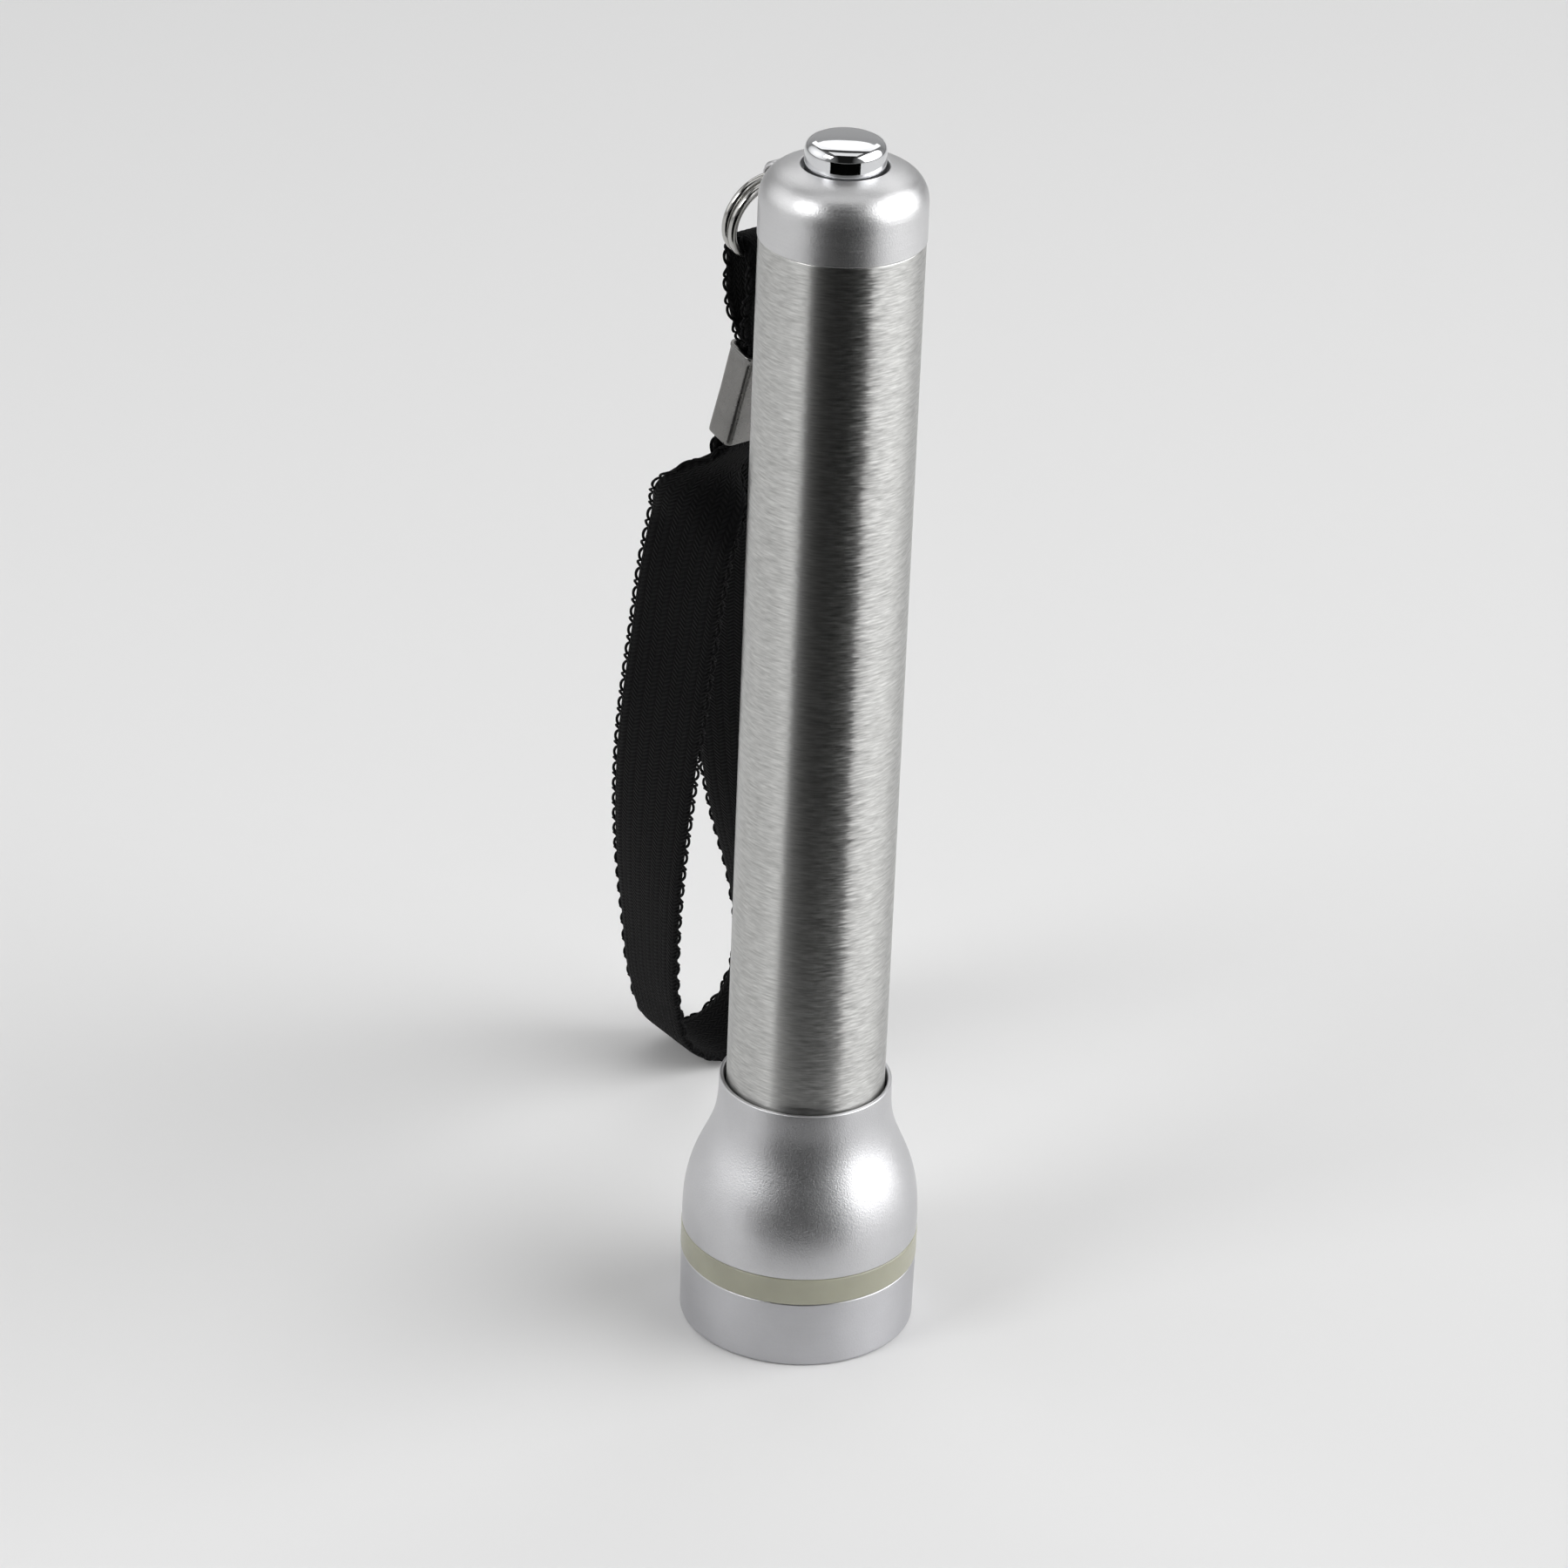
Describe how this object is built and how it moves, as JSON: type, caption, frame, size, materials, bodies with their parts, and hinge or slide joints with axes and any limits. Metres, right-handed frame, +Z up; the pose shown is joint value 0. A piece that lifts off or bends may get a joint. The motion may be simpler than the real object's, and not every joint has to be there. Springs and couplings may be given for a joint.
{
  "type": "flashlight",
  "caption": "Slim pocket flashlight with a bell-shaped head, glow band, brushed barrel, tail push button and a woven wrist strap on a split ring.",
  "frame": {"origin": "centre of the bezel's rim, on the table that the flashlight stands on head down", "axes": "+Z up the barrel from the lens to the tail button; -Y faces the viewer; the ring's lug is at the back left"},
  "size_m": [0.0374, 0.0803, 0.1443],
  "materials": {
    "head_aluminium": "satin, clear anodised",
    "cap_aluminium": "satin, clear anodised",
    "barrel_steel": "fine brushing round the tube",
    "glow_plastic": "translucent, unlit",
    "seal_rubber": "matte",
    "lens_glass": "clear",
    "reflector_mirror": "vacuum metallised",
    "lamp_epoxy": "clear, slightly warm",
    "board_laminate": "glass laminate",
    "inner_plastic": "moulded",
    "plunger_plastic": "moulded",
    "contact_brass": "plain",
    "collar_aluminium": "machined",
    "liner_card": "smooth",
    "cell_sleeve": "plain printed sleeve",
    "spring_steel": "nickel plated",
    "button_chrome": "polished",
    "ring_steel": "polished",
    "clamp_steel": "satin",
    "webbing": "woven, with looped edges"
  },
  "bodies": {
    "head": {"bezel": "head_aluminium", "lens_gasket": "seal_rubber", "lens": "lens_glass", "glow_ring": "glow_plastic", "head_shell": "head_aluminium", "reflector": "reflector_mirror", "led_lamp": "lamp_epoxy", "led_board": "board_laminate", "led_holder": "inner_plastic", "front_contact": "contact_brass"},
    "cells": {"cell_front": "cell_sleeve", "cell_rear": "cell_sleeve"},
    "barrel": {"front_collar": "collar_aluminium", "front_seal": "seal_rubber", "barrel_tube": "barrel_steel", "cell_liner": "liner_card", "rear_collar": "collar_aluminium"},
    "spring": {"tail_spring": "spring_steel"},
    "tail": {"tail_cap": "cap_aluminium", "cap_seal": "seal_rubber", "switch_retainer": "collar_aluminium", "switch_contact": "contact_brass", "switch_housing": "inner_plastic", "button_spring": "spring_steel"},
    "push_button": {"button": "button_chrome", "switch_plunger": "plunger_plastic"},
    "ring": {"split_ring": "ring_steel"},
    "strap": {"strap_eye": "webbing", "strap_clamp": "clamp_steel", "strap_loop": "webbing"}
  },
  "joints": [
    {"name": "barrel_lift", "type": "slide", "parent": "head", "child": "cells", "axis": [0, 0, 1], "range_m": [0, 0.0072]},
    {"name": "barrel_turn", "type": "hinge", "parent": "cells", "child": "barrel", "pos_m": [0, 0, 0.022], "axis": [0, 0, 1], "range_deg": [0, 2160]},
    {"name": "cap_lift", "type": "slide", "parent": "barrel", "child": "spring", "axis": [0, 0, 1], "range_m": [0, 0.0072]},
    {"name": "cap_turn", "type": "hinge", "parent": "spring", "child": "tail", "pos_m": [0, 0, 0.13], "axis": [0, 0, 1], "range_deg": [0, 2160]},
    {"name": "button_press", "type": "slide", "parent": "tail", "child": "push_button", "axis": [0, 0, -1], "range_m": [0, 0.0018], "stiffness_N_per_m": 900, "springref_m": -0.001, "deforming": ["button_spring"]},
    {"name": "ring_swing", "type": "hinge", "parent": "tail", "child": "ring", "pos_m": [-0.00701, 0.00835, 0.1359], "axis": [0.766, 0.6428, 0], "range_deg": [0, 100]},
    {"name": "strap_swing", "type": "hinge", "parent": "ring", "child": "strap", "pos_m": [-0.00914, 0.00904, 0.12706], "axis": [0.766, 0.6428, 0], "range_deg": [0, 65]}
  ],
  "couplings": [
    {"joint": "barrel_turn", "follows": "barrel_lift", "rad_per_m": 5235},
    {"joint": "cap_turn", "follows": "cap_lift", "rad_per_m": 5235}
  ]
}
